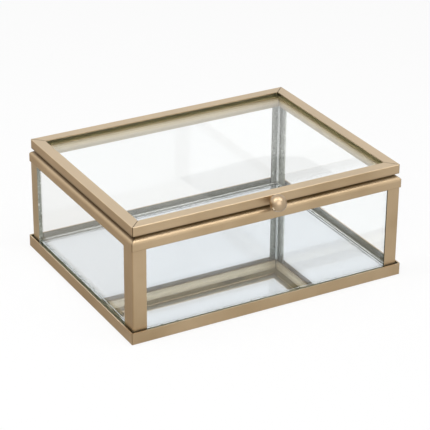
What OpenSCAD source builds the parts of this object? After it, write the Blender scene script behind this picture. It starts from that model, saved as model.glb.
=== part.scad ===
// Glass casket box: a frame of folded brass strip round clear glass panes,
// with a mirror floor and a glass lid that is hinged at the back.
// Millimetres, +Z up, the front faces -Y. The origin is the centre of the underside.

/* [Overall] */
// Width across the base rails
box_w = 160; // [120:1:240]
// Depth across the base rails
box_d = 124.4; // [90:0.1:200]
// Height of the closed box
box_h = 64; // [50:0.5:110]

/* [Brass strip] */
// Thickness of the strip that the top rails are folded from
strip_t = 0.6; // [0.5:0.05:1]
// Thickness of the corner posts' strip
post_t = 0.8; // [0.6:0.1:1.2]
// Width of the front posts' flanges on the front
post_w = 7.6; // [6:0.1:12]
// Width of the front posts' flanges on the sides
post_side_w = 9.6; // [6:0.1:14]
// Width of the back posts' flanges on the back
post_back_w = 6.3; // [5:0.1:12]
// Width of the back posts' flanges on the sides
post_back_side_w = 8.2; // [6:0.1:14]
// Radius of a post's folded outer edge
post_fold_r = 1; // [0.4:0.1:1.6]
// Open seam at each mitred corner
mitre_gap = 0.16; // [0.06:0.02:0.3]

/* [Base rails] */
// Height of the base rails' upright leg
base_rail_h = 6.5; // [6:0.1:12]
// Thickness of the base rails' upright leg
base_leg_t = 0.7; // [0.6:0.05:0.8]
// How far the base rails stand out past the top rails, which leaves a groove round the posts
base_step = 1.15; // [0.9:0.05:1.4]
// Width of the flange under the mirror, from the outer face
base_flange_w = 7; // [6:0.5:12]
// Thickness of that flange
base_flange_t = 1; // [0.6:0.1:1.3]
// Radius of the base rails' folded bottom edge
base_fold_r = 0.6; // [0.3:0.1:0.9]
// Radius of the base frame's upright corner edges
base_corner_r = 1; // [0.4:0.1:1.4]

/* [Top rails] */
// Height of the top rails' outer leg
top_rail_h = 5.9; // [5:0.1:10]
// Height of the top rails' inner leg
inner_leg_h = 4.4; // [3:0.1:5]
// Thickness of the top rails' inner leg
inner_leg_t = 0.8; // [0.6:0.1:1.2]
// Radius of the top rails' rounded outer shoulder
shoulder_r = 2.4; // [1.4:0.1:2.6]
// Radius of the rounded lower edge of the top rails' outer leg
foot_r = 0.5; // [0.2:0.05:0.5]
// Slope of the top rails' upper face, which rises inward from the shoulder
top_slope = 30; // [20:1:40]
// Height of the top rails' inner crest above the level of the outer shoulder
crest_rise = 1.2; // [0.8:0.1:1.4]
// Radius of the top rails' rounded inner shoulder
inner_shoulder_r = 0.5; // [0.2:0.1:0.6]
// Radius of the top frame's upright corner edges
top_corner_r = 1; // [0.4:0.1:1.4]

/* [Lid] */
// Height of the lid rails
lid_h = 5; // [4.6:0.2:8]
// Thickness of the strip that the lid's channels are folded from
lid_t = 0.6; // [0.5:0.05:0.8]
// Width of the lid channels' two flanges, from the outer face
lid_flange_w = 6; // [5:0.2:10]
// How far the lid's sides stand in from the body's
lid_inset = 0.9; // [0.6:0.1:1.6]
// Height of the open gap between the lid and the top rails' outer shoulder
lid_gap = 2.1; // [1.8:0.1:2.4]
// Radius of the lid rails' folded top edge
lid_fold_r = 0.45; // [0.3:0.05:0.6]
// Radius of the lid frame's upright corner edges
lid_corner_r = 1; // [0.4:0.1:1.1]

/* [Glass] */
// Thickness of the wall panes
wall_glass_t = 2; // [1.6:0.1:3]
// Thickness of the lid pane
lid_glass_t = 2; // [1.6:0.1:2.4]
// Room between a wall pane's end and the post's other flange
wall_end_gap = 0.4; // [0.2:0.1:0.6]
// Room above a wall pane in its channel
wall_top_gap = 0.5; // [0.4:0.1:0.8]
// Joint between a side pane's end and the front or back pane
corner_joint = 0.2; // [0.1:0.05:0.4]
// Room between the lid pane's edge and the channels' webs
lid_glass_gap = 0.5; // [0.4:0.1:0.8]
// Width of the seamed edge of each pane
arris = 0.15; // [0.05:0.05:0.3]
// Leg of the clear adhesive fillet in each inner corner
sealant_w = 0.9; // [0.6:0.1:1.4]

/* [Floor] */
// Thickness of the mirror's glass
mirror_glass_t = 2.8; // [2:0.2:4]
// Thickness of the mirror's silvering and its back paint
silvering_t = 0.2; // [0.1:0.05:0.3]
// Thickness of the board under the mirror
board_t = 1; // [0.6:0.2:2]
// Room round the mirror and its board, inside the panes
floor_gap = 0.3; // [0.2:0.1:0.6]
// Room round the felt, inside the base flanges
felt_gap = 0.3; // [0.2:0.1:0.6]

/* [Knob] */
// Radius of the ball
knob_r = 4.45; // [3:0.05:6]
// Distance from the lid's front face to the ball
knob_neck_l = 1.45; // [0.8:0.05:4]
// Radius of the neck behind the ball
knob_neck_r = 1.6; // [1.3:0.1:2.1]
// Height of the knob's axis above the lid's lower edge
knob_rise = 2.9; // [2.1:0.1:2.9]
// How far right of the middle the knob is set
knob_x = 0.6; // [-20:0.2:20]
// Radius of the tenon that goes through the lid's web
tenon_r = 0.8; // [0.5:0.1:0.8]
// Radial room round the tenon
tenon_clear = 0.04; // [0.02:0.01:0.08]
// How far the tenon's spread head laps over the hole's edge
head_lap = 0.2; // [0.1:0.05:0.2]
// Room between the tenon's spread head and the lid pane
head_clear = 0.2; // [0.1:0.05:0.3]

/* [Hinges] */
// Length of each hinge
hinge_l = 16; // [12:1:24]
// Distance from the box's side to the middle of each hinge
hinge_inset = 32; // [24:1:46]
// Thickness of the hinge leaves
leaf_t = 0.8; // [0.6:0.1:0.9]
// Height of the leaf on the body's top rail
body_leaf_h = 5; // [3:0.2:5]
// Height of the leaf on the lid's web
lid_leaf_h = 3.8; // [3:0.2:3.8]
// Outer radius of the knuckles
knuckle_r = 1.5; // [1.4:0.1:2]
// Length of the lid's middle knuckle
lid_knuckle_l = 5.4; // [4:0.2:8]
// Room between neighbouring knuckles
knuckle_gap = 0.3; // [0.2:0.05:0.5]
// How far the knuckles stand off the body's back
knuckle_off = 0.1; // [0:0.05:0.3]
// Radius of the hinge pins
pin_r = 0.75; // [0.5:0.05:0.85]
// Radial running clearance of the pins
pin_clear = 0.05; // [0.02:0.01:0.08]
// How far a pin stands out at each end
pin_end = 0.3; // [0.1:0.1:0.6]
// Angle at which the stop holds the open lid
open_angle = 105; // [95:1:120]
// Length of the stop's bearing face
stop_reach = 2.8; // [2:0.2:3.4]
// Clearance left at the stop
stop_clear = 0.1; // [0.05:0.05:0.2]

/* [Bumpers] */
// Radius of the clear bumpers under the lid's front corners
bumper_r = 1; // [0.8:0.1:1.4]
// Distance from the lid's outer faces to a bumper
bumper_side_gap = 1.8; // [1.4:0.1:2]
// Room left between a bumper and the top rails' crest at rest
bumper_rest_gap = 0.1; // [0.05:0.05:0.3]

/* [Hidden] */
SIDES = ["front", "back", "left", "right"];
CORNERS = ["front_left", "front_right", "back_left", "back_right"];
HINGES = ["left", "right"];

// Facets in a full circle
fine = 64;
// Overshoot of the cutting shapes
eps = 0.5;

// Body heights: body_h is the level of the top rails' outer shoulder
body_h = box_h - lid_h - lid_gap;
crest_z = body_h + crest_rise;
lid_z = body_h + lid_gap;
mirror_z = base_flange_t + board_t;
mirror_top = mirror_z + silvering_t + mirror_glass_t;

// Half sizes of the nested shells, as [x, y]
base_half = [box_w / 2, box_d / 2];
rail_half = [base_half.x - base_step, base_half.y - base_step];
post_half = [rail_half.x - strip_t, rail_half.y - strip_t];
pane_half = [post_half.x - post_t, post_half.y - post_t];
inner_half = [pane_half.x - wall_glass_t, pane_half.y - wall_glass_t];
lid_half = [rail_half.x - lid_inset, rail_half.y - lid_inset];
channel_w = strip_t + post_t + wall_glass_t + inner_leg_t;

// Wall panes stand on the base flange and end inside the top rails' channel
wall_z = base_flange_t;
wall_h = body_h - strip_t - wall_top_gap - wall_z;

// Lid pane, on the lower flanges of the lid's channels
lid_pane_z = lid_z + lid_t;

// Hinge axis, behind the body's back at the height of the gap
hinge_x = base_half.x - hinge_inset;
hinge_y = rail_half.y + knuckle_off + knuckle_r;
hinge_z = body_h + lid_gap / 2;
// Distance from the axis to the lid leaf's outer face
leaf_face = hinge_y - lid_half.y - leaf_t;
body_knuckle_l = (hinge_l - lid_knuckle_l) / 2 - knuckle_gap;

brass = [0.72, 0.6, 0.43];
clear_glass = [0.8, 0.9, 0.9, 0.35];

// ---------- plane shapes ----------

// Rectangle from the origin whose corner at the origin is rounded
module fold_rect(w, h, r) {
    translate([r, 0]) square([w - r, h]);
    translate([0, r]) square([w, h - r]);
    intersection() {
        translate([r, r]) circle(r = r, $fn = fine);
        square([w, h]);
    }
}

// Centred rectangle with four rounded corners
module round_rect(w, d, r) {
    square([w - 2 * r, d], center = true);
    square([w, d - 2 * r], center = true);
    for (sx = [-1, 1], sy = [-1, 1])
        translate([sx * (w / 2 - r), sy * (d / 2 - r)]) circle(r = r, $fn = fine);
}

// Rectangle from the origin with its four corners cut at 45 degrees
module arris_rect(w, h, c) {
    polygon([[c, 0], [w - c, 0], [w, c], [w, h - c], [w - c, h], [c, h], [0, h - c], [0, c]]);
}

// ---------- strip sections: x runs inward from the outer face, y runs up ----------

module base_section() {
    difference() {
        fold_rect(base_flange_w, base_rail_h, base_fold_r);
        translate([base_leg_t, base_flange_t]) square([base_flange_w, base_rail_h]);
    }
}

// Region under a rounded shoulder whose upper face goes on at the top slope, set in by t
module shoulder_region(t, w, low) {
    r = shoulder_r - t;
    x = shoulder_r - r * sin(top_slope);
    y = top_rail_h - shoulder_r + r * cos(top_slope);
    translate([t, low]) square([w - t, top_rail_h - shoulder_r - low]);
    intersection() {
        translate([shoulder_r, top_rail_h - shoulder_r]) circle(r = r, $fn = fine);
        translate([0, low]) square([w, top_rail_h]);
    }
    polygon([[x, low], [w, low], [w, y + (w - x) * tan(top_slope)], [x, y]]);
}

// Channel that is open downward, with an outer shoulder and a sloped top of even thickness
module top_section() {
    crest_h = top_rail_h + crest_rise;
    difference() {
        intersection() {
            shoulder_region(0, channel_w, 0);
            translate([channel_w, crest_h]) rotate(180) fold_rect(channel_w, crest_h, inner_shoulder_r);
            fold_rect(channel_w, crest_h, foot_r);
        }
        shoulder_region(strip_t, channel_w - inner_leg_t, -eps);
        translate([strip_t, -eps]) square([channel_w, top_rail_h - inner_leg_h + eps]);
    }
}

// Channel that is open inward, with the pane on its lower flange
module lid_section() {
    translate([0, lid_h]) mirror([0, 1]) difference() {
        fold_rect(lid_flange_w, lid_h, lid_fold_r);
        translate([lid_t, lid_t]) square([lid_flange_w, lid_h - 2 * lid_t]);
    }
}

// ---------- frames ----------

function side_turn(side) = side == "front" ? 0 : side == "right" ? 90 : side == "back" ? 180 : 270;
function runs_in_x(side) = side == "front" || side == "back";

// One side of a mitred frame with the outer half sizes in half. The child is the strip's
// section, z and h place the frame, depth is past the section's inner edge.
module frame_rail(side, half, z, h, depth, corner_r) {
    along = runs_in_x(side) ? half.x : half.y;
    across = runs_in_x(side) ? half.y : half.x;
    seam = mitre_gap / sqrt(2);
    end = along - seam;
    translate([0, 0, z]) rotate([0, 0, side_turn(side)]) intersection() {
        translate([-along, -across, 0]) rotate([90, 0, 90]) linear_extrude(2 * along) children();
        translate([0, 0, -eps]) linear_extrude(h + 2 * eps) intersection() {
            polygon([[-end - eps, -across - eps], [end + eps, -across - eps],
                     [end - depth, -across + depth], [-end + depth, -across + depth]]);
            round_rect(2 * along, 2 * across, corner_r);
        }
    }
}

module base_rail(side) {
    color(brass)
        frame_rail(side, base_half, 0, base_rail_h, base_flange_w + eps, base_corner_r)
            base_section();
}

module top_rail(side) {
    color(brass)
        frame_rail(side, rail_half, body_h - top_rail_h, top_rail_h + crest_rise,
                   channel_w + eps, top_corner_r)
            top_section();
}

// The front rail's web has the hole for the knob's tenon
module lid_rail(side) {
    color(brass) difference() {
        frame_rail(side, lid_half, lid_z, lid_h, lid_flange_w + eps, lid_corner_r) lid_section();
        if (side == "front")
            translate([knob_x, -lid_half.y - eps, lid_z + knob_rise]) rotate([-90, 0, 0])
                cylinder(r = tenon_r + tenon_clear, h = lid_t + 2 * eps, $fn = fine);
    }
}

// ---------- corner posts ----------

// Folded angle inside the rails, from the base flange to the top rails' rounded shoulder
module corner_post(sx, sy) {
    across_w = sy < 0 ? post_w : post_back_w;
    side_w = sy < 0 ? post_side_w : post_back_side_w;
    color(brass) mirror([sx > 0 ? 1 : 0, 0, 0]) mirror([0, sy > 0 ? 1 : 0, 0])
        translate([-post_half.x, -post_half.y, base_flange_t])
            linear_extrude(body_h - shoulder_r - base_flange_t) difference() {
                fold_rect(across_w, side_w, post_fold_r);
                translate([post_t, post_t]) square([across_w, side_w]);
            }
}

// ---------- glass ----------

// Sheet from the origin with seamed edges
module sheet(w, d, h) {
    intersection() {
        linear_extrude(h) arris_rect(w, d, arris);
        translate([0, d, 0]) rotate([90, 0, 0]) linear_extrude(d) arris_rect(w, h, arris);
        rotate([90, 0, 90]) linear_extrude(w) arris_rect(d, h, arris);
    }
}

// Front and back panes run from post to post, the side panes stand between them
module wall_pane(side) {
    long_half = pane_half.x - wall_end_gap;
    short_half = inner_half.y - corner_joint;
    color(clear_glass)
        if (runs_in_x(side))
            translate([-long_half, side == "front" ? -pane_half.y : inner_half.y, wall_z])
                sheet(2 * long_half, wall_glass_t, wall_h);
        else
            translate([side == "left" ? -pane_half.x : inner_half.x, -short_half, wall_z])
                sheet(wall_glass_t, 2 * short_half, wall_h);
}

module lid_pane() {
    half = [lid_half.x - lid_t - lid_glass_gap, lid_half.y - lid_t - lid_glass_gap];
    color(clear_glass)
        translate([-half.x, -half.y, lid_pane_z]) sheet(2 * half.x, 2 * half.y, lid_glass_t);
}

// Clear fillets in the inner corners, with a tongue in the joint between the panes
module corner_sealant() {
    tongue = wall_glass_t - wall_end_gap;
    color([0.85, 0.87, 0.85, 0.6])
        for (sx = [0, 1], sy = [0, 1])
            mirror([sx, 0, 0]) mirror([0, sy, 0])
                translate([-inner_half.x, -inner_half.y, mirror_top])
                    linear_extrude(body_h - inner_leg_h - mirror_top)
                        polygon([[-tongue, 0], [sealant_w, 0], [0, sealant_w],
                                 [0, corner_joint], [-tongue, corner_joint]]);
}

// ---------- floor ----------

floor_half = [inner_half.x - floor_gap, inner_half.y - floor_gap];

module mirror_glass() {
    color([0.75, 0.85, 0.85, 0.6])
        translate([-floor_half.x, -floor_half.y, mirror_z + silvering_t])
            sheet(2 * floor_half.x, 2 * floor_half.y, mirror_glass_t);
}

module mirror_silvering() {
    color("silver")
        translate([-floor_half.x + arris, -floor_half.y + arris, mirror_z])
            cube([2 * (floor_half.x - arris), 2 * (floor_half.y - arris), silvering_t]);
}

module mirror_board() {
    color([0.45, 0.42, 0.38])
        translate([-floor_half.x, -floor_half.y, base_flange_t])
            cube([2 * floor_half.x, 2 * floor_half.y, board_t]);
}

// Felt in the opening between the base flanges, flush with their underside
module base_felt() {
    half = [base_half.x - base_flange_w - felt_gap, base_half.y - base_flange_w - felt_gap];
    color([0.12, 0.12, 0.13])
        linear_extrude(base_flange_t) round_rect(2 * half.x, 2 * half.y, base_flange_w / 2);
}

// ---------- knob ----------

// Ball on a neck, with a tenon through the lid's web that is spread over behind it
module knob() {
    head_t = lid_glass_gap - head_clear;
    color(brass) translate([knob_x, -lid_half.y, lid_z + knob_rise]) {
        translate([0, -knob_neck_l - knob_r, 0]) sphere(r = knob_r, $fn = fine);
        translate([0, -knob_neck_l - knob_r / 2, 0]) rotate([-90, 0, 0])
            cylinder(r = knob_neck_r, h = knob_neck_l + knob_r / 2, $fn = fine);
        rotate([-90, 0, 0]) cylinder(r = tenon_r, h = lid_t + head_t, $fn = fine);
        translate([0, lid_t, 0]) rotate([-90, 0, 0])
            cylinder(r = tenon_r + tenon_clear + head_lap, h = head_t, $fn = fine);
    }
}

// ---------- hinges ----------

// Rod along x at the hinge axis, from x0 and l long
module axle(x0, l, r) {
    translate([x0, hinge_y, hinge_z]) rotate([0, 90, 0]) cylinder(r = r, h = l, $fn = fine);
}

// Section of the body leaf across the hinge: x is the box's y, y is its height. The stop is
// a block in the open lid's place that fills up to the lid leaf's face.
module body_leaf_section() {
    difference() {
        union() {
            translate([rail_half.y, body_h - body_leaf_h])
                square([leaf_t, body_leaf_h + lid_gap / 2]);
            translate([hinge_y, hinge_z]) circle(r = knuckle_r, $fn = fine);
            translate([hinge_y, hinge_z]) rotate(-open_angle)
                translate([-leaf_face + stop_clear, 0]) square([leaf_face - stop_clear, stop_reach]);
        }
        translate([hinge_y, hinge_z]) circle(r = pin_r + pin_clear, $fn = fine);
    }
}

// Leaf on the top rail with the two outer knuckles and their stops, cut out in the middle
// for the lid's knuckle and bridge
module hinge_body_leaf(side) {
    x0 = (side == "left" ? -hinge_x : hinge_x) - hinge_l / 2;
    room_z = body_h - knuckle_gap;
    color(brass) difference() {
        translate([x0, 0, 0]) rotate([90, 0, 90]) linear_extrude(hinge_l) body_leaf_section();
        translate([x0 + body_knuckle_l, 0, 0]) rotate([90, 0, 90])
            linear_extrude(lid_knuckle_l + 2 * knuckle_gap) {
                translate([hinge_y, hinge_z]) circle(r = knuckle_r + knuckle_gap, $fn = fine);
                translate([rail_half.y - eps, room_z])
                    square([2 * (leaf_face + stop_reach), lid_h]);
            }
    }
}

// Leaf on the lid's web, joined to the middle knuckle by a bridge over the top
module hinge_lid_leaf(side) {
    x0 = (side == "left" ? -hinge_x : hinge_x) - hinge_l / 2;
    xk = x0 + body_knuckle_l + knuckle_gap;
    leaf_z = hinge_z + knuckle_r - leaf_t;
    color(brass) difference() {
        union() {
            translate([x0, lid_half.y, leaf_z]) cube([hinge_l, leaf_t, lid_leaf_h]);
            translate([xk, lid_half.y, leaf_z]) cube([lid_knuckle_l, hinge_y - lid_half.y, leaf_t]);
            axle(xk, lid_knuckle_l, knuckle_r);
        }
        axle(xk - eps, lid_knuckle_l + 2 * eps, pin_r + pin_clear);
    }
}

module hinge_pin(side) {
    x0 = (side == "left" ? -hinge_x : hinge_x) - hinge_l / 2;
    color([0.6, 0.52, 0.4]) axle(x0 - pin_end, hinge_l + 2 * pin_end, pin_r);
}

// ---------- bumpers ----------

// Clear pads under the lid's front corners, which land on the top rails
module lid_bumpers() {
    in = bumper_side_gap + bumper_r;
    pad_z = crest_z + bumper_rest_gap;
    color([0.85, 0.87, 0.86, 0.6])
        for (sx = [-1, 1])
            translate([sx * (lid_half.x - in), -lid_half.y + in, pad_z])
                cylinder(r = bumper_r, h = lid_z - pad_z, $fn = fine);
}

// ---------- assembly ----------

for (s = SIDES) {
    base_rail(s);
    top_rail(s);
    wall_pane(s);
    lid_rail(s);
}
for (sx = [-1, 1], sy = [-1, 1]) {
    name = str("corner_post_", sy < 0 ? "front" : "back", "_", sx < 0 ? "left" : "right");
    corner_post(sx, sy);
}
for (h = HINGES) {
    hinge_body_leaf(h);
    hinge_lid_leaf(h);
    hinge_pin(h);
}
mirror_glass();
mirror_silvering();
mirror_board();
base_felt();
corner_sealant();
lid_pane();
lid_bumpers();
knob();
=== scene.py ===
import math
import random

import bmesh
import bpy
from mathutils import Matrix, Vector


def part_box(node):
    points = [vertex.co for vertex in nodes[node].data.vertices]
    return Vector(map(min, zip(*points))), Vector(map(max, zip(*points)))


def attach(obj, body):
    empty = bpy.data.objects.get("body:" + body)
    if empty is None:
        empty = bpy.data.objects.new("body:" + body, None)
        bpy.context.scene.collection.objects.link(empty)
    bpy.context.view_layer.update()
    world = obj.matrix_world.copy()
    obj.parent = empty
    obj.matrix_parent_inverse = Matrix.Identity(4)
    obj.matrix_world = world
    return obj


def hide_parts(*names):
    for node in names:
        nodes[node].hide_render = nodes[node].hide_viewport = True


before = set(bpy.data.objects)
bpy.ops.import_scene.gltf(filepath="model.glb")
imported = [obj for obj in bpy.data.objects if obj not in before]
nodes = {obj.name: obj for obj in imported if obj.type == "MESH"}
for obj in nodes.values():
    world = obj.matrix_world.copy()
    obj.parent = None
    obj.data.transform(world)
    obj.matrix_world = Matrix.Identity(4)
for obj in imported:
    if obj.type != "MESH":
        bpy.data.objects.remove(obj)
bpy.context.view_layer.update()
SIDES = ("front", "back", "left", "right")
CORNERS = ("front_left", "front_right", "back_left", "back_right")


# ---------- node helpers ----------

class Tree:
    """The node tree of a material or world, with short calls for the nodes that this scene uses."""

    def __init__(self, name, owner=None):
        self.owner = owner or bpy.data.materials.new(name)
        self.owner.use_nodes = True
        self.tree = self.owner.node_tree
        self.tree.nodes.clear()

    def node(self, kind, **settings):
        made = self.tree.nodes.new(kind)
        for key, value in settings.items():
            setattr(made, key, value)
        return made

    def link(self, output, target):
        self.tree.links.new(output, target)

    def put(self, target, value):
        """Sets a socket to a value, or links it to an output. A colour's alpha may be left out."""
        if isinstance(value, bpy.types.NodeSocket):
            self.link(value, target)
        elif hasattr(value, "__len__") and len(value) < len(target.default_value):
            target.default_value = tuple(value) + (1.0,)
        else:
            target.default_value = value

    def math(self, operation, a, b=0.0, clamp=False):
        made = self.node("ShaderNodeMath", operation=operation, use_clamp=clamp)
        self.put(made.inputs[0], a)
        self.put(made.inputs[1], b)
        return made.outputs[0]

    def mix(self, factor, a, b, blend="MIX"):
        made = self.node("ShaderNodeMix", data_type="RGBA", blend_type=blend)
        self.put(made.inputs["Factor"], factor)
        self.put(made.inputs[6], a)
        self.put(made.inputs[7], b)
        return made.outputs[2]

    def ramp(self, value, low, high, to_low=0.0, to_high=1.0, smooth=True):
        made = self.node("ShaderNodeMapRange")
        made.interpolation_type = "SMOOTHSTEP" if smooth else "LINEAR"
        for target, given in zip(made.inputs, (value, low, high, to_low, to_high)):
            self.put(target, given)
        return made.outputs[0]

    def noise(self, scale, detail=3.0, rough=0.5, stretch=(1, 1, 1), distortion=0.0):
        """Noise over the frame's metres. stretch scales each axis."""
        place = self.node("ShaderNodeTexCoord").outputs["Object"]
        mapping = self.node("ShaderNodeMapping")
        self.link(place, mapping.inputs["Vector"])
        mapping.inputs["Scale"].default_value = stretch
        made = self.node("ShaderNodeTexNoise")
        self.link(mapping.outputs[0], made.inputs["Vector"])
        for key, value in (("Scale", scale), ("Detail", detail), ("Roughness", rough),
                           ("Distortion", distortion)):
            made.inputs[key].default_value = value
        return made.outputs[0]

    def place(self):
        """The point's x, y and z in the frame, as three outputs."""
        parts = self.node("ShaderNodeSeparateXYZ")
        self.link(self.node("ShaderNodeTexCoord").outputs["Object"], parts.inputs[0])
        return parts.outputs

    def normal(self):
        """The surface normal's x, y and z, as three outputs."""
        parts = self.node("ShaderNodeSeparateXYZ")
        self.link(self.node("ShaderNodeNewGeometry").outputs["Normal"], parts.inputs[0])
        return parts.outputs

    def bump(self, height, strength, distance):
        made = self.node("ShaderNodeBump")
        made.inputs["Strength"].default_value = strength
        made.inputs["Distance"].default_value = distance
        self.link(height, made.inputs["Height"])
        return made.outputs[0]

    def finish(self, shader, volume=None):
        out = self.node("ShaderNodeOutputMaterial")
        self.link(shader, out.inputs["Surface"])
        if volume:
            self.link(volume, out.inputs["Volume"])
        return self.owner


def srgb(r, g, b):
    """A colour given as 8-bit sRGB, as Blender's linear colour."""
    def linear(c):
        c /= 255
        return c / 12.92 if c <= 0.04045 else ((c + 0.055) / 1.055) ** 2.4
    return (linear(r), linear(g), linear(b), 1.0)


# ---------- materials ----------

# The plate, its darker and paler clouds, the faces that look up painted paler as a painted sheen,
# the dark of the mitres' solder that also paints shade in bands, and the posts' inside
BRASS = srgb(184, 160, 126)
BRASS_DEEP = srgb(172, 147, 112)
BRASS_PALE = srgb(194, 171, 139)
BRASS_TOP_PAINTED_SHEEN = srgb(205, 186, 158)
SOLDER_AND_SHADE_DARK = srgb(92, 72, 48)
INSIDE_GREY = srgb(186, 187, 176)
# Roughness of the faces that look into the box, and the bright and dark specks on them
INSIDE_ROUGH = (0.6, 0.6, 0.6)
SPECK_BRIGHT, SPECK_DARK = srgb(240, 242, 238), srgb(84, 86, 76)
# Middle part of a noise's range, over which most patterns fade from one colour to the other
FADE = (0.3, 0.7)
BOX_HALF = (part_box("base_rail_right")[1].x, -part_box("base_rail_front")[0].y)
# All three frames are this much wider than they are deep, in half sizes, so one line serves
# every mitre. The dark line fades over these distances from the mitre
MITRE_OFFSET = BOX_HALF[0] - BOX_HALF[1]
MITRE_FADE = (0.00016, 0.00042)
# A face's distance from the box's middle, in metres along its normal, is over the first pair
# where it looks outwards and under the second pair where it looks into the box
OUT_FADE, IN_FADE = (0.01, 0.03), (-0.03, -0.02)
# The same for the upward part of the normal, for level faces that look up or down
UP_FADE, DOWN_FADE = (0.5, 0.9), (-0.9, -0.6)
PANE_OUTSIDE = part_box("wall_pane_back")[1].y
# A hair's breadth: how much smaller all round the scene's own panes are than the solids, and how
# far outside a pane an edge has to lie to be seen past it
HAIR = 0.00003


def brass_material(name, brushed=(1, 1, 1), finish=(0.42, 0.50), tone=None, top=0.75, under=None,
                   inside=None, inside_top=None, specks=False, channel=None, cut=None,
                   painted_shade_bands=(), solder=0.0):
    """Satin champagne-gold plate.

    brushed: stretches the fine grain.
    finish: roughness from and to.
    tone: multiplies the plate's colour.
    top: how pale the faces are that look up.
    under: colour of the faces that look down.
    inside: colour of the faces that look into the box.
    top: how far the faces that look up are painted paler, a painted sheen of the light from above.
    specks: whether spots of adhesive lie on the inside.
    channel: a dull colour of painted shade, and the two heights between which it covers all but the
    outside.
    cut: colour of the cut edges outside the panes that look left or right.
    tarnish: bands of painted shade on the faces that look outwards, each two heights and its
    strength at each.
    solder: how dark the mitres are.
    """
    t = Tree(name)
    shader = t.node("ShaderNodeBsdfPrincipled")
    shader.inputs["Metallic"].default_value = 1.0
    shader.inputs["Coat Weight"].default_value = 0.2
    shader.inputs["Coat Roughness"].default_value = 0.35
    at, way = t.place(), t.normal()
    clouds = t.noise(24.0, rough=0.55)
    grain = t.noise(900.0, detail=2.0, stretch=brushed)
    colour = t.mix(t.ramp(clouds, *FADE), BRASS_DEEP, BRASS_PALE)
    colour = t.mix(0.35, colour, BRASS)
    if tone:
        colour = t.mix(1.0, colour, tone, "MULTIPLY")
    if under:
        colour = t.mix(t.ramp(way[2], *DOWN_FADE, 1.0, 0.0), colour, under)
    # Faces that look up are painted paler: a painted sheen of the light from above
    if top:
        colour = t.mix(t.ramp(way[2], *UP_FADE, 0.0, top), colour, BRASS_TOP_PAINTED_SHEEN)
    rough = t.ramp(clouds, *FADE, *finish)
    rough = t.math("ADD", rough, t.ramp(grain, *FADE, -0.03, 0.03))
    outward = t.math("ADD", t.math("MULTIPLY", at[0], way[0]), t.math("MULTIPLY", at[1], way[1]))
    # Painted shade in bands on the faces that look outwards
    for band in painted_shade_bands:
        edge = t.math("MULTIPLY", t.ramp(at[2], *band), t.ramp(outward, *OUT_FADE))
        colour = t.mix(edge, colour, SOLDER_AND_SHADE_DARK)
    if inside:
        inner = t.ramp(outward, *IN_FADE, 1.0, 0.0, smooth=False)
        # Painted light: the inside turns paler towards the top
        if inside_top:
            top_colour, *heights = inside_top
            inside = t.mix(t.ramp(at[2], *heights), inside, top_colour)
        if specks:
            spots = t.noise(650.0, detail=2.0)
            inside = t.mix(t.ramp(spots, 0.60, 0.66, 0.0, 0.8), inside, SPECK_BRIGHT)
            inside = t.mix(t.ramp(spots, 0.34, 0.40, 0.7, 0.0), inside, SPECK_DARK)
        colour = t.mix(inner, colour, inside)
        rough = t.mix(inner, rough, INSIDE_ROUGH)
    # The channel is painted a dull colour that is not metal: painted shade inside it
    if channel:
        dull, low, high = channel
        within = t.math("MULTIPLY", t.math("GREATER_THAN", at[2], low),
                        t.math("LESS_THAN", at[2], high))
        within = t.math("MULTIPLY", within, t.math("LESS_THAN", outward, OUT_FADE[0]))
        colour = t.mix(within, colour, dull)
        t.link(t.math("SUBTRACT", 1.0, within), shader.inputs["Metallic"])
    if cut:
        sideways = t.math("GREATER_THAN", t.math("ABSOLUTE", way[0]), 0.9)
        edge = t.math("MULTIPLY", inner, sideways)
        beyond = t.math("SUBTRACT", t.math("ABSOLUTE", at[1]), PANE_OUTSIDE + HAIR)
        edge = t.math("MULTIPLY", edge, t.math("GREATER_THAN", beyond, 0.0))
        colour = t.mix(edge, colour, cut)
    if solder:
        across = t.math("SUBTRACT", t.math("ABSOLUTE", at[0]), t.math("ABSOLUTE", at[1]))
        off_mitre = t.math("ABSOLUTE", t.math("SUBTRACT", across, MITRE_OFFSET))
        colour = t.mix(t.ramp(off_mitre, *MITRE_FADE, solder, 0.0), colour, SOLDER_AND_SHADE_DARK)
    t.link(colour, shader.inputs["Base Color"])
    t.link(rough, shader.inputs["Roughness"])
    t.link(t.bump(grain, 0.10, 0.00004), shader.inputs["Normal"])
    return t.finish(shader.outputs[0])


CLEAR = (0.998, 1.0, 0.999, 1.0)


def glass_material(name, absorb, density):
    """Clear glass that lets lamps through, with float glass's green over long paths."""
    t = Tree(name)
    glass = t.node("ShaderNodeBsdfPrincipled")
    glass.inputs["Base Color"].default_value = CLEAR
    glass.inputs["Transmission Weight"].default_value = 1.0
    glass.inputs["Roughness"].default_value = 0.0
    glass.inputs["IOR"].default_value = 1.5
    clear = t.node("ShaderNodeBsdfTransparent")
    clear.inputs[0].default_value = CLEAR
    both = t.node("ShaderNodeMixShader")
    t.link(t.node("ShaderNodeLightPath").outputs["Is Shadow Ray"], both.inputs[0])
    t.link(glass.outputs[0], both.inputs[1])
    t.link(clear.outputs[0], both.inputs[2])
    volume = t.node("ShaderNodeVolumeAbsorption")
    volume.inputs["Color"].default_value = absorb
    volume.inputs["Density"].default_value = density
    return t.finish(both.outputs[0], volume.outputs[0])


MIRROR_HALF = tuple(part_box("mirror_silvering")[1])[:2]
# Distances from the silver's edge over which its dull specks thin out
EDGE_FADE = (0.0018, 0.0042)


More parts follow.
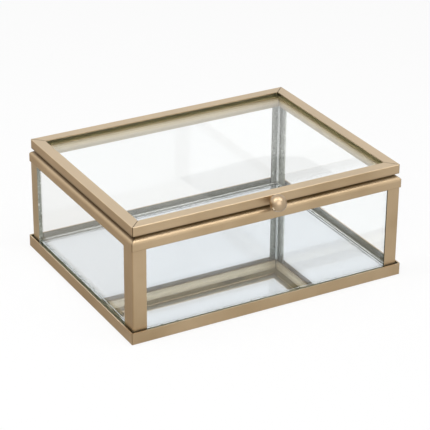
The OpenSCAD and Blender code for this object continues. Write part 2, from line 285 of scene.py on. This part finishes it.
def mirror_material():
    """Silvered glass, with a few dull specks near the edges of the silver."""
    t = Tree("silvering")
    shader = t.node("ShaderNodeBsdfPrincipled")
    shader.inputs["Metallic"].default_value = 1.0
    shader.inputs["Roughness"].default_value = 0.02
    cloud = t.noise(14.0, detail=2.0)
    colour = t.mix(t.ramp(cloud, *FADE), (0.755, 0.78, 0.82, 1), (0.79, 0.815, 0.855, 1))
    at = t.place()
    inset = [t.math("SUBTRACT", half, t.math("ABSOLUTE", across))
             for across, half in zip(at, MIRROR_HALF)]
    near_edge = t.ramp(t.math("MINIMUM", *inset), *EDGE_FADE, 1.0, 0.0)
    specks = t.ramp(t.noise(700.0, detail=3.0, distortion=0.5), 0.56, 0.64)
    colour = t.mix(t.math("MULTIPLY", near_edge, specks), colour, srgb(120, 124, 122))
    t.link(colour, shader.inputs["Base Color"])
    return t.finish(shader.outputs[0])


def board_material():
    """Bare brown fibreboard."""
    t = Tree("board")
    shader = t.node("ShaderNodeBsdfPrincipled")
    fibres = t.noise(700.0, detail=5.0, rough=0.7)
    colour = t.mix(t.ramp(fibres, *FADE), srgb(98, 86, 70), srgb(134, 120, 100))
    t.link(colour, shader.inputs["Base Color"])
    shader.inputs["Roughness"].default_value = 0.9
    t.link(t.bump(fibres, 0.4, 0.0001), shader.inputs["Normal"])
    return t.finish(shader.outputs[0])


def felt_material():
    """Dark grey felt, fuzzy close up and uneven over a few millimetres."""
    t = Tree("felt")
    shader = t.node("ShaderNodeBsdfPrincipled")
    fuzz = t.noise(2600.0, detail=4.0, rough=0.7)
    lie = t.noise(90.0, detail=3.0)
    colour = t.mix(t.ramp(fuzz, *FADE), srgb(28, 28, 30), srgb(62, 62, 66))
    colour = t.mix(t.ramp(lie, *FADE, 0.0, 0.35), colour, srgb(44, 43, 46))
    t.link(colour, shader.inputs["Base Color"])
    shader.inputs["Roughness"].default_value = 0.95
    shader.inputs["Sheen Weight"].default_value = 0.5
    shader.inputs["Sheen Roughness"].default_value = 0.6
    t.link(t.bump(fuzz, 0.6, 0.0002), shader.inputs["Normal"])
    return t.finish(shader.outputs[0])


def sealant_material(name):
    """Cured clear adhesive, cloudy where it holds small bubbles."""
    t = Tree(name)
    shader = t.node("ShaderNodeBsdfPrincipled")
    blobs = t.noise(420.0, detail=3.0, rough=0.6, distortion=0.6)
    colour = t.mix(t.ramp(blobs, 0.45, 0.62), srgb(226, 230, 226), srgb(250, 250, 248))
    t.link(colour, shader.inputs["Base Color"])
    shader.inputs["Roughness"].default_value = 0.2
    shader.inputs["Transmission Weight"].default_value = 0.45
    shader.inputs["IOR"].default_value = 1.46
    t.link(t.bump(blobs, 0.5, 0.0002), shader.inputs["Normal"])
    return t.finish(shader.outputs[0])


def rubber_material():
    """Clear soft bumper with a faint haze."""
    t = Tree("clear_bumper")
    shader = t.node("ShaderNodeBsdfPrincipled")
    haze = t.noise(900.0, detail=2.0)
    colour = t.mix(t.ramp(haze, 0.35, 0.65), srgb(150, 148, 140), srgb(178, 176, 168))
    t.link(colour, shader.inputs["Base Color"])
    shader.inputs["Roughness"].default_value = 0.25
    shader.inputs["Transmission Weight"].default_value = 0.85
    shader.inputs["IOR"].default_value = 1.45
    return t.finish(shader.outputs[0])


def dress(names, material):
    for name in names:
        nodes[name].data.materials.clear()
        nodes[name].data.materials.append(material)


# The grain is drawn out along one axis
ALONG_X, ALONG_Y, ALONG_Z = (0.05, 1, 1), (1, 0.05, 1), (1, 1, 0.05)
# Dark olive painted shade on the base rails' faces that look into the box, in the groove by the
# pane
GROOVE_PAINTED_SHADE = srgb(122, 122, 98)
# Dull olive painted shade inside the lid rails' channel
CHANNEL_PAINTED_SHADE = srgb(150, 138, 98)
# The rim's inner faces are pale, their paleness partly painted reflected light, and paler towards
# the top as painted light against the shade that falls there
INNER_LEG_PALE, INNER_LEG_PAINTED_LIGHT = srgb(196, 184, 160), srgb(236, 224, 198)
LID_UNDER = srgb(167, 154, 111)
LID_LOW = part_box("lid_rail_front")[0].z
# Heights between which the lid rails' inside lies, with the faces of both flanges
CHANNEL_LOW, CHANNEL_HIGH = LID_LOW + 0.00055, LID_LOW + 0.00445
RIM_LOW, RIM_CREST = (corner.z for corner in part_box("top_rail_front"))
CUT_DARK = srgb(84, 82, 64)
# What is the same for all rails of a kind
RAILS = {
    "base_rail_": dict(inside=GROOVE_PAINTED_SHADE, solder=0.25),
    "top_rail_": dict(inside=INNER_LEG_PALE, solder=0.5, top=0.2,
                      inside_top=(INNER_LEG_PAINTED_LIGHT, RIM_LOW + 0.002, RIM_LOW + 0.0055)),
    "lid_rail_": dict(under=LID_UNDER, solder=0.8,
                      channel=(CHANNEL_PAINTED_SHADE, CHANNEL_LOW, CHANNEL_HIGH)),
}
# Painted shade lies in a thin line under the rim, on the crest under the lid and along the lid's
# lower edge,
# darker on the left and the right: the grain, the rim's bands and the lid's bands for each pair of
# rails
RIM_PAINTED_SHADOW = (RIM_LOW, RIM_LOW + 0.0004, 0.4, 0.0)
ENDS = {
    ("front", "back"): (ALONG_X, (RIM_PAINTED_SHADOW, (RIM_CREST - 0.0014, RIM_CREST - 0.0006, 0.0, 0.45)),
                        ((LID_LOW, LID_LOW + 0.0009, 0.3, 0.0),)),
    ("left", "right"): (ALONG_Y, (RIM_PAINTED_SHADOW, (RIM_CREST - 0.0019, RIM_CREST - 0.0011, 0.0, 0.85)),
                        ((LID_LOW, LID_LOW + 0.0012, 0.65, 0.0),)),
}
for ends, (grain_way, rim_shade_bands, lid_shade_bands) in ENDS.items():
    for rail, looks in RAILS.items():
        painted_shade_bands = {"top_rail_": rim_shade_bands, "lid_rail_": lid_shade_bands}.get(rail, ())
        brass = brass_material(f"{rail}{ends[0]}_{ends[1]}", grain_way, painted_shade_bands=painted_shade_bands, **looks)
        dress([rail + end for end in ends], brass)
brass_plain = brass_material("brass_plain")
post_looks = dict(brushed=ALONG_Z, inside=INSIDE_GREY, specks=True, cut=CUT_DARK)
brass_post = {"front": brass_material("brass_posts_front", **post_looks),
              # The back posts get a paler and bluer copy of the plate: painted light
              "back": brass_material("brass_posts_back_painted_light", tone=(1.10, 1.18, 1.28), **post_looks)}
for corner in CORNERS:
    dress(["corner_post_" + corner], brass_post[corner.split("_")[0]])
dress([f"hinge_{p}_{s}" for p in ("body_leaf", "lid_leaf", "pin") for s in ("left", "right")],
      brass_plain)
dress(["knob"],
      brass_material("brass_knob", finish=(0.34, 0.38), top=0.0, tone=(0.86, 0.86, 0.90)))


def freed_pane(name, body):
    """A pane in a node's place, 0.03 mm smaller all round, so that no face of the glass lies
    in a face of the piece that it touches and light gets out of it as it should."""
    node = nodes[name]
    mesh = node.data.copy()
    mesh.name = name + "_clear"
    xs, ys, zs = ([v.co[axis] for v in mesh.vertices] for axis in range(3))
    middle = Vector([(min(c) + max(c)) / 2 for c in (xs, ys, zs)])
    for vertex in mesh.vertices:
        for axis in range(3):
            vertex.co[axis] -= math.copysign(HAIR, vertex.co[axis] - middle[axis])
    made = bpy.data.objects.new(name + "_clear", mesh)
    made.matrix_world = node.matrix_world
    bpy.context.scene.collection.objects.link(made)
    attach(made, body)
    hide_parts(name)
    return made


pane_glass = glass_material("pane_glass", (0.80, 0.95, 0.90, 1.0), 14.0)
mirror_plate = glass_material("mirror_plate", (0.84, 0.93, 0.94, 1.0), 20.0)


def ground_edge_material():
    """Seamed cut edge of a pane, dull and dark green as it is seen from inside the glass."""
    t = Tree("ground_edge")
    shader = t.node("ShaderNodeBsdfPrincipled")
    scratches = t.noise(500.0, detail=2.0)
    colour = t.mix(t.ramp(scratches, *FADE), srgb(116, 116, 96), srgb(132, 132, 112))
    t.link(colour, shader.inputs["Base Color"])
    shader.inputs["Roughness"].default_value = 0.7
    return t.finish(shader.outputs[0])


ground_edge = ground_edge_material()


def ground_edges(pane):
    """The faces on the rim of a pane, away from its two large faces, are ground."""
    mesh = pane.data
    largest = max(mesh.polygons, key=lambda face: face.area).normal.copy()
    mesh.materials.append(ground_edge)
    for face in mesh.polygons:
        face.material_index = 0 if abs(face.normal.dot(largest)) > 0.99 else 1


for pane, body, glass in ([("wall_pane_" + side, "box", pane_glass) for side in SIDES]
                          + [("lid_pane", "lid", pane_glass),
                             ("mirror_glass", "box", mirror_plate)]):
    freed = freed_pane(pane, body)
    freed.data.materials.clear()
    freed.data.materials.append(glass)
    ground_edges(freed)


# How far the adhesive lines lie inside the panes, and how far they stop short of the corners
LINE_INSET = 0.0013
LINE_END = 0.002
LINE_STEPS = 110
LINE_START_WIDTH = 0.0005
LINE_WIDTHS = (0.0003, 0.0009)
LINE_HEIGHT = 0.00012


def mirror_edge_line():
    """Thin uneven lines of squeezed-out clear adhesive along the mirror's edge, a little inside
    the wall panes."""
    rng = random.Random(7)
    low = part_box("mirror_glass")[1].z - HAIR
    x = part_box("wall_pane_right")[0].x - LINE_INSET
    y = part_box("wall_pane_back")[0].y - LINE_INSET
    points, faces = [], []
    for side, half, reach in (((1, 0), x, y), ((-1, 0), x, y), ((0, 1), y, x), ((0, -1), y, x)):
        width, length = LINE_START_WIDTH, 2 * (reach - LINE_END)
        first = len(points)
        for step in range(LINE_STEPS + 1):
            width += 0.5 * (rng.uniform(*LINE_WIDTHS) - width)
            along = -length / 2 + length * step / LINE_STEPS
            section = ((0, 0), (width, 0), (0.6 * width, LINE_HEIGHT), (0.2 * width, LINE_HEIGHT))
            for inset, rise in section:
                away = half - inset
                points.append((side[0] * away + side[1] * along,
                               side[1] * away + side[0] * along, low + rise))
        for step in range(LINE_STEPS):
            a, b = first + 4 * step, first + 4 * step + 4
            faces += [(a + k, a + (k + 1) % 4, b + (k + 1) % 4, b + k) for k in range(4)]
        last = first + 4 * LINE_STEPS
        faces += [tuple(range(first, first + 4)), tuple(range(last, last + 4))]
    mesh = bpy.data.meshes.new("mirror_edge_line")
    mesh.from_pydata(points, [], faces)
    solid = bmesh.new()
    solid.from_mesh(mesh)
    bmesh.ops.recalc_face_normals(solid, faces=solid.faces)
    solid.to_mesh(mesh)
    solid.free()
    made = bpy.data.objects.new("mirror_edge_line", mesh)
    bpy.context.scene.collection.objects.link(made)
    made.data.materials.append(sealant_material("mirror_line_adhesive"))
    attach(made, "box")


mirror_edge_line()
dress(["mirror_silvering"], mirror_material())
dress(["mirror_board"], board_material())
dress(["base_felt"], felt_material())
dress(["corner_sealant"], sealant_material("clear_adhesive"))
dress(["lid_bumpers"], rubber_material())


# ---------- the camera's place ----------

# The image's width and the focal length in its pixels
FRAME_PX = 430
FOCAL_PX = 1870.15
CAMERA_AT = Vector((-0.438214, -0.782647, 0.468808))
AZIMUTH, ELEVATION, ROLL = (math.radians(angle) for angle in (-29.331, 26.234, -0.492))


def camera_axes():
    """The camera's right, up and backward directions, turned by azimuth, elevation and roll."""
    right = Vector((math.cos(AZIMUTH), math.sin(AZIMUTH), 0))
    back = Vector((math.sin(AZIMUTH) * math.cos(ELEVATION),
                   -math.cos(AZIMUTH) * math.cos(ELEVATION), math.sin(ELEVATION)))
    up = back.cross(right)
    rolled_right = math.cos(ROLL) * right - math.sin(ROLL) * up
    rolled_up = math.sin(ROLL) * right + math.cos(ROLL) * up
    return rolled_right, rolled_up, back


# ---------- floor, world, lamps ----------

def plane(name, half, z):
    """A level square, half its side each way."""
    mesh = bpy.data.meshes.new(name)
    mesh.from_pydata([(-half, -half, z), (half, -half, z), (half, half, z), (-half, half, z)],
                     [], [(0, 1, 2, 3)])
    made = bpy.data.objects.new(name, mesh)
    bpy.context.scene.collection.objects.link(made)
    return made


def seen_directly(t):
    """1 for what the camera sees, also by reflection and through glass."""
    path = t.node("ShaderNodeLightPath").outputs
    seen = t.math("MAXIMUM", path["Is Camera Ray"], path["Is Glossy Ray"])
    return t.math("MAXIMUM", seen, path["Is Transmission Ray"])


WHITE = (1, 1, 1)
# The floor's glow, as it is seen, and its share beside the diffuse floor that takes the shadow
FLOOR_GLOW = 0.98
GLOW_SHARE = 0.86
FLOOR_GREY = (0.86, 0.86, 0.86, 1)
# In the brass the floor is dimmer and warmer on the box's left than in front of it, and dimmer
# near the box and to its right
LEFT_SHADE = (0.60, 0.53, 0.45)
NEAR_SHADE = 0.84
RIGHT_SHADE = 0.80


def floor_material():
    """Pale studio floor that glows for the eye only, so that it doesn't light the box."""
    t = Tree("studio_floor")
    diffuse = t.node("ShaderNodeBsdfDiffuse")
    diffuse.inputs[0].default_value = FLOOR_GREY
    glow = t.node("ShaderNodeEmission")
    at = t.place()
    in_front = t.ramp(t.math("SUBTRACT", at[0], at[1]), -0.06, 0.03)
    reflected = t.mix(in_front, LEFT_SHADE, WHITE)
    beside, before = (t.math("SUBTRACT", t.math("ABSOLUTE", across), half)
                      for across, half in zip(at, BOX_HALF))
    away = t.ramp(t.math("MAXIMUM", beside, before), 0.0, 0.15, NEAR_SHADE, 1.0)
    to_right = t.ramp(at[0], -0.04, 0.25, 1.0, RIGHT_SHADE)
    reflected = t.mix(1.0, reflected, t.math("MULTIPLY", away, to_right), "MULTIPLY")
    path = t.node("ShaderNodeLightPath").outputs
    in_brass = t.math("SUBTRACT", path["Is Glossy Ray"], path["Is Transmission Ray"], clamp=True)
    t.link(t.mix(in_brass, WHITE, reflected), glow.inputs[0])
    t.link(t.math("MULTIPLY", seen_directly(t), FLOOR_GLOW), glow.inputs["Strength"])
    both = t.node("ShaderNodeMixShader")
    both.inputs[0].default_value = GLOW_SHARE
    t.link(diffuse.outputs[0], both.inputs[1])
    t.link(glow.outputs[0], both.inputs[2])
    return t.finish(both.outputs[0])


floor = plane("studio_floor", 6.0, -0.0002)
floor.data.materials.append(floor_material())

# A dull card stands behind the box and shows as a soft grey patch in the lid's glass. These are
# the patch's corners in the image's pixels, from its left end over its upper edge to its right
CARD_CORNERS_PX = ((199, 192), (180, 177), (262, 157), (303, 155.5), (331, 172))
# The card's brightness, and how soft its edge is
CARD_LEVEL = 0.35
CARD_EDGE = 0.001
# How bright the world is as a light, and as it is seen
SKY_LIGHT, SKY_SEEN = 0.55, 1.0


def mirrored_ray(pixel):
    """The camera's ray through a pixel after a level mirror, to a tenth of a degree."""
    right, up, back = camera_axes()
    across, down = ((place - FRAME_PX / 2) / FOCAL_PX for place in pixel)
    ray = (across * right - down * up - back).normalized()
    azimuth, elevation = (math.radians(round(math.degrees(angle), 1))
                          for angle in (math.atan2(ray.y, ray.x), math.asin(-ray.z)))
    return Vector((math.cos(azimuth) * math.cos(elevation),
                   math.sin(azimuth) * math.cos(elevation), math.sin(elevation)))


def card_patch(t):
    """1 inside the card, for reflected rays only."""
    ray = t.node("ShaderNodeTexCoord").outputs["Generated"]
    ends = [mirrored_ray(corner) for corner in CARD_CORNERS_PX]
    middle = sum(ends, Vector())
    path = t.node("ShaderNodeLightPath").outputs
    patch = t.math("SUBTRACT", path["Is Glossy Ray"], path["Is Transmission Ray"], clamp=True)
    for start, end in zip(ends, ends[1:]):
        across = start.cross(end).normalized()
        if across.dot(middle) < 0:
            across.negate()
        depth = t.node("ShaderNodeVectorMath", operation="DOT_PRODUCT")
        t.link(ray, depth.inputs[0])
        depth.inputs[1].default_value = across
        patch = t.math("MULTIPLY", patch, t.ramp(depth.outputs["Value"], -CARD_EDGE, CARD_EDGE))
    return patch


def studio_world():
    """White all round, with the card's patch."""
    world = bpy.data.worlds.new("studio")
    bpy.context.scene.world = world
    t = Tree("", world)
    sky = t.node("ShaderNodeBackground")
    sky.inputs[0].default_value = (1, 1, 1, 1)
    level = t.ramp(seen_directly(t), 0.0, 1.0, SKY_LIGHT, SKY_SEEN, smooth=False)
    level = t.ramp(card_patch(t), 0.0, 1.0, level, CARD_LEVEL, smooth=False)
    t.link(level, sky.inputs["Strength"])
    out = t.node("ShaderNodeOutputWorld")
    t.link(sky.outputs[0], out.inputs["Surface"])


studio_world()
LAMP_AIM = Vector((0, 0, 0.04))


def area_lamp(name, place, size, watts):
    """A rectangular soft box that points at the middle of the box."""
    lamp = bpy.data.lights.new(name, "AREA")
    lamp.shape = "RECTANGLE"
    lamp.size, lamp.size_y = size
    lamp.energy = watts
    made = bpy.data.objects.new(name, lamp)
    made.location = place
    made.rotation_euler = (LAMP_AIM - Vector(place)).to_track_quat("-Z", "Y").to_euler()
    bpy.context.scene.collection.objects.link(made)


area_lamp("top_left_box", (-0.50, 0.08, 0.80), (0.45, 0.7), 3.5)
area_lamp("top_right_box", (0.20, -0.32, 0.95), (0.45, 0.7), 3.5)
area_lamp("front_key", (-0.35, -1.0, 0.60), (1.0, 1.0), 5.0)


# ---------- camera ----------

def photo_camera():
    """The camera at the photograph's place."""
    lens = bpy.data.cameras.new("camera")
    lens.sensor_width = 36.0
    lens.lens = lens.sensor_width * FOCAL_PX / FRAME_PX
    lens.clip_start = 0.01
    made = bpy.data.objects.new("camera", lens)
    turn = Matrix(camera_axes()).transposed()
    made.matrix_world = Matrix.Translation(CAMERA_AT) @ turn.to_4x4()
    bpy.context.scene.collection.objects.link(made)
    bpy.context.scene.camera = made


photo_camera()
bpy.context.scene.view_settings.view_transform = "Standard"
# Light passes through several panes, with two faces each, on its way
bpy.context.scene.cycles.max_bounces = 20
bpy.context.scene.cycles.glossy_bounces = 10
bpy.context.scene.cycles.transmission_bounces = 20
